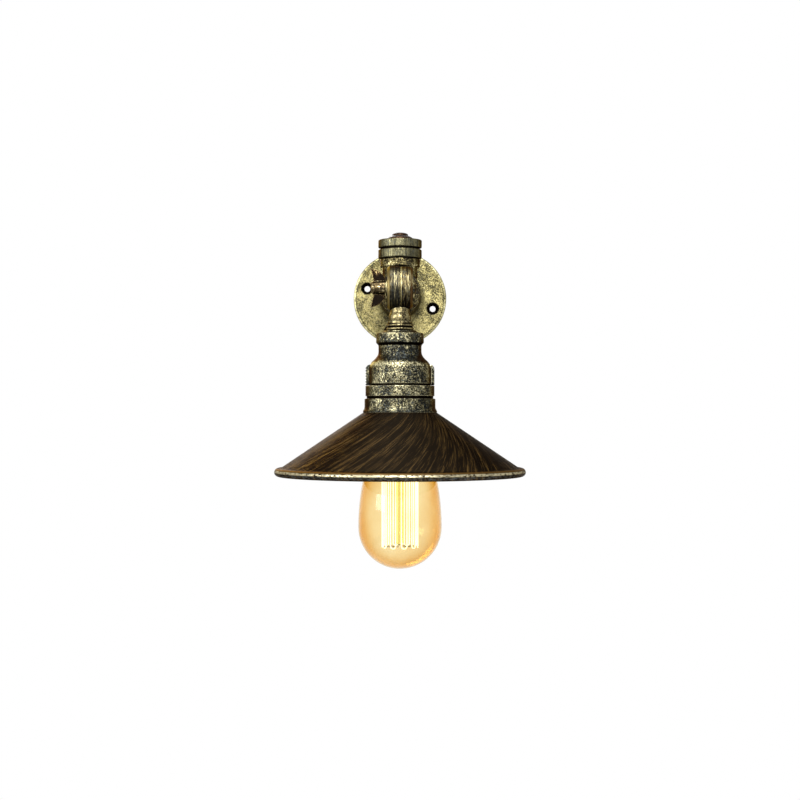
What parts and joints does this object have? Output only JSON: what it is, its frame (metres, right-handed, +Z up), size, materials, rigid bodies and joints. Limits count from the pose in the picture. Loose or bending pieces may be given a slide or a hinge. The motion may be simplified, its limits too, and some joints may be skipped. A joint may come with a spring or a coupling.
{
  "type": "wall light",
  "caption": "Wall light built from cast pipe fittings, with a wing-nut swivel, a shallow conical shade and a cage-filament globe bulb.",
  "frame": {"origin": "centre of the wall flange's back face, on the wall", "axes": "+Y into the wall, so the light reaches out along -Y; +X to its right seen from the room; +Z up"},
  "size_m": [0.1924, 0.2042, 0.2649],
  "materials": {
    "cast_bronze_flange": "antique bronze paint rubbed through to pale brass on the high points",
    "cast_bronze_fitting": "antique bronze paint, dark in the hollows and brassy on the edges",
    "aged_cap": "greenish grey antique bronze paint with vertical brush marks",
    "brown_iron": "dark brown painted iron, slightly glossy",
    "cup_casting": "dark cast surface with brass flecks",
    "shade_paint": "near-black brown paint with golden brush strokes",
    "galvanised_pipe": "plain zinc plating",
    "brass_contact": "bare brass",
    "bulb_cap_brass": "rolled brass, slightly dull",
    "holder_ceramic": "white glaze",
    "clamp_plastic": "black phenolic",
    "insulator_glass": "black vitreous",
    "amber_glass": "clear amber glass",
    "stem_glass": "clear glass",
    "steel_wire": "bright steel",
    "lead_silicone": "smooth silicone insulation",
    "filament_glow": "glowing carbon filament"
  },
  "bodies": {
    "wall_arm": {"wall_flange": "cast_bronze_flange", "wall_nipple": "galvanised_pipe", "tee": "cast_bronze_fitting", "cap_nipple": "galvanised_pipe", "branch_cap": "aged_cap", "cap_washer": "brown_iron", "cap_screw": "brown_iron", "arm_knuckle": "cast_bronze_fitting", "clamp_bolt": "cast_bronze_fitting", "arm_leads": "lead_silicone"},
    "lamp_head": {"head_knuckle": "cast_bronze_fitting", "socket_cup": "cup_casting", "hanger_nipple": "galvanised_pipe", "hanger": "steel_wire", "hanger_locknuts": "steel_wire", "hanger_screws": "steel_wire", "lampholder_body": "holder_ceramic", "lampholder_shell": "brass_contact", "centre_contact": "brass_contact", "live_terminal": "brass_contact", "neutral_terminal": "brass_contact", "terminal_screws": "brass_contact", "shade_collar": "cup_casting", "shade": "shade_paint", "clamp_ring": "clamp_plastic", "head_leads": "lead_silicone"},
    "bulb": {"bulb_shell": "bulb_cap_brass", "bulb_insulator": "insulator_glass", "bulb_button": "bulb_cap_brass", "bulb_glass": "amber_glass", "bulb_stem": "stem_glass", "bulb_filament": "filament_glow", "filament_hooks": "steel_wire", "bulb_feed_wires": "steel_wire"},
    "nut_washer": {"wing_washer": "cast_bronze_fitting"},
    "nut": {"wing_nut": "brown_iron"}
  },
  "joints": [
    {"name": "head_tilt", "type": "hinge", "parent": "wall_arm", "child": "lamp_head", "pos_m": [0, -0.108, 0], "axis": [-1, 0, 0], "range_deg": [-4, 180]},
    {"name": "bulb_pull", "type": "slide", "parent": "lamp_head", "child": "bulb", "axis": [0, 0, -1], "range_m": [0, 0.08]},
    {"name": "wing_nut_travel", "type": "slide", "parent": "wall_arm", "child": "nut_washer", "axis": [-1, 0, 0], "range_m": [0, 0.00205]},
    {"name": "wing_nut_turn", "type": "hinge", "parent": "nut_washer", "child": "nut", "pos_m": [-0.016, -0.108, 0], "axis": [-1, 0, 0], "range_deg": [0, 720]}
  ],
  "couplings": [
    {"joint": "wing_nut_travel", "follows": "wing_nut_turn", "m_per_rad": 0.00015915}
  ]
}
